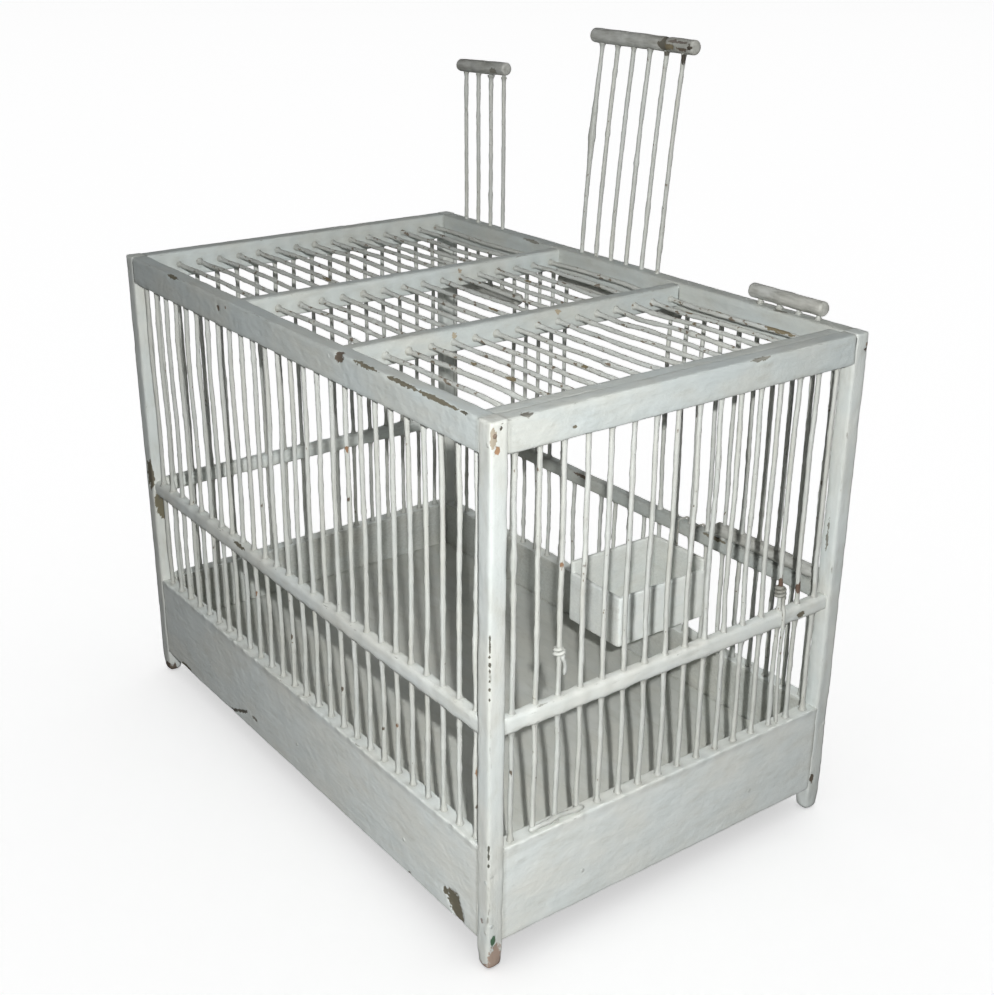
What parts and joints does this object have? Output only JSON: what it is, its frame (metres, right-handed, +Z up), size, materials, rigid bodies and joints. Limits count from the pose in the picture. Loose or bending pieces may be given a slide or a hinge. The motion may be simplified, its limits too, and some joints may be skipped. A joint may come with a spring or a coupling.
{
  "type": "bird cage",
  "caption": "Rectangular bird cage of painted wood and wire on short feet, with a solid floor, a hung feeder box and doors that slide up through the top rail.",
  "frame": {"origin": "on the ground under the feet, in the middle of the cage", "axes": "+X along the long walls to the right, +Y from the plain front wall to the back wall with the doors, +Z up"},
  "size_m": [0.37, 0.235, 0.4075],
  "materials": {
    "frame": "old pale grey-green brush paint, worn at the edges",
    "wire": "thick uneven off-white paint over iron wire, with rust specks",
    "floor": "dull grey paint",
    "feeder": "thin pale grey paint",
    "nail": "dark rusted steel"
  },
  "bodies": {
    "cage": {"base_board_back": "frame", "base_board_front": "frame", "base_board_left": "frame", "base_board_right": "frame", "door_sill": "frame", "feeder_box": "feeder", "feeder_hooks": "wire", "floor_panel": "floor", "mend_wires": "wire", "mid_rail_front": "frame", "mid_rail_left": "frame", "mid_rail_right": "frame", "nails": "nail", "post_back_left": "frame", "post_back_right": "frame", "post_front_left": "frame", "post_front_right": "frame", "roof_bar_end": "frame", "roof_bar_left": "frame", "roof_bar_right": "frame", "top_rail_back": "frame", "top_rail_front": "frame", "top_rail_left": "frame", "top_rail_right": "frame", "wires_back": "wire", "wires_front": "wire", "wires_left": "wire", "wires_right": "wire", "wires_roof": "wire", "wires_under_doors": "wire"},
    "door_left": {"door_left_handle": "frame", "door_left_wires": "wire", "door_left_bar": "frame"},
    "door_middle": {"door_middle_handle": "frame", "door_middle_wires": "wire", "door_middle_bar": "frame"},
    "door_right": {"door_right_handle": "frame", "door_right_wires": "wire", "door_right_bar": "frame"}
  },
  "joints": [
    {"name": "door_left_slide", "type": "slide", "parent": "cage", "child": "door_left", "axis": [0, 0, 1], "range_m": [-0.0945, 0.0227]},
    {"name": "door_middle_slide", "type": "slide", "parent": "cage", "child": "door_middle", "axis": [0, 0, 1], "range_m": [-0.1172, 0]},
    {"name": "door_right_slide", "type": "slide", "parent": "cage", "child": "door_right", "axis": [0, 0, 1], "range_m": [0, 0.1172]}
  ]
}
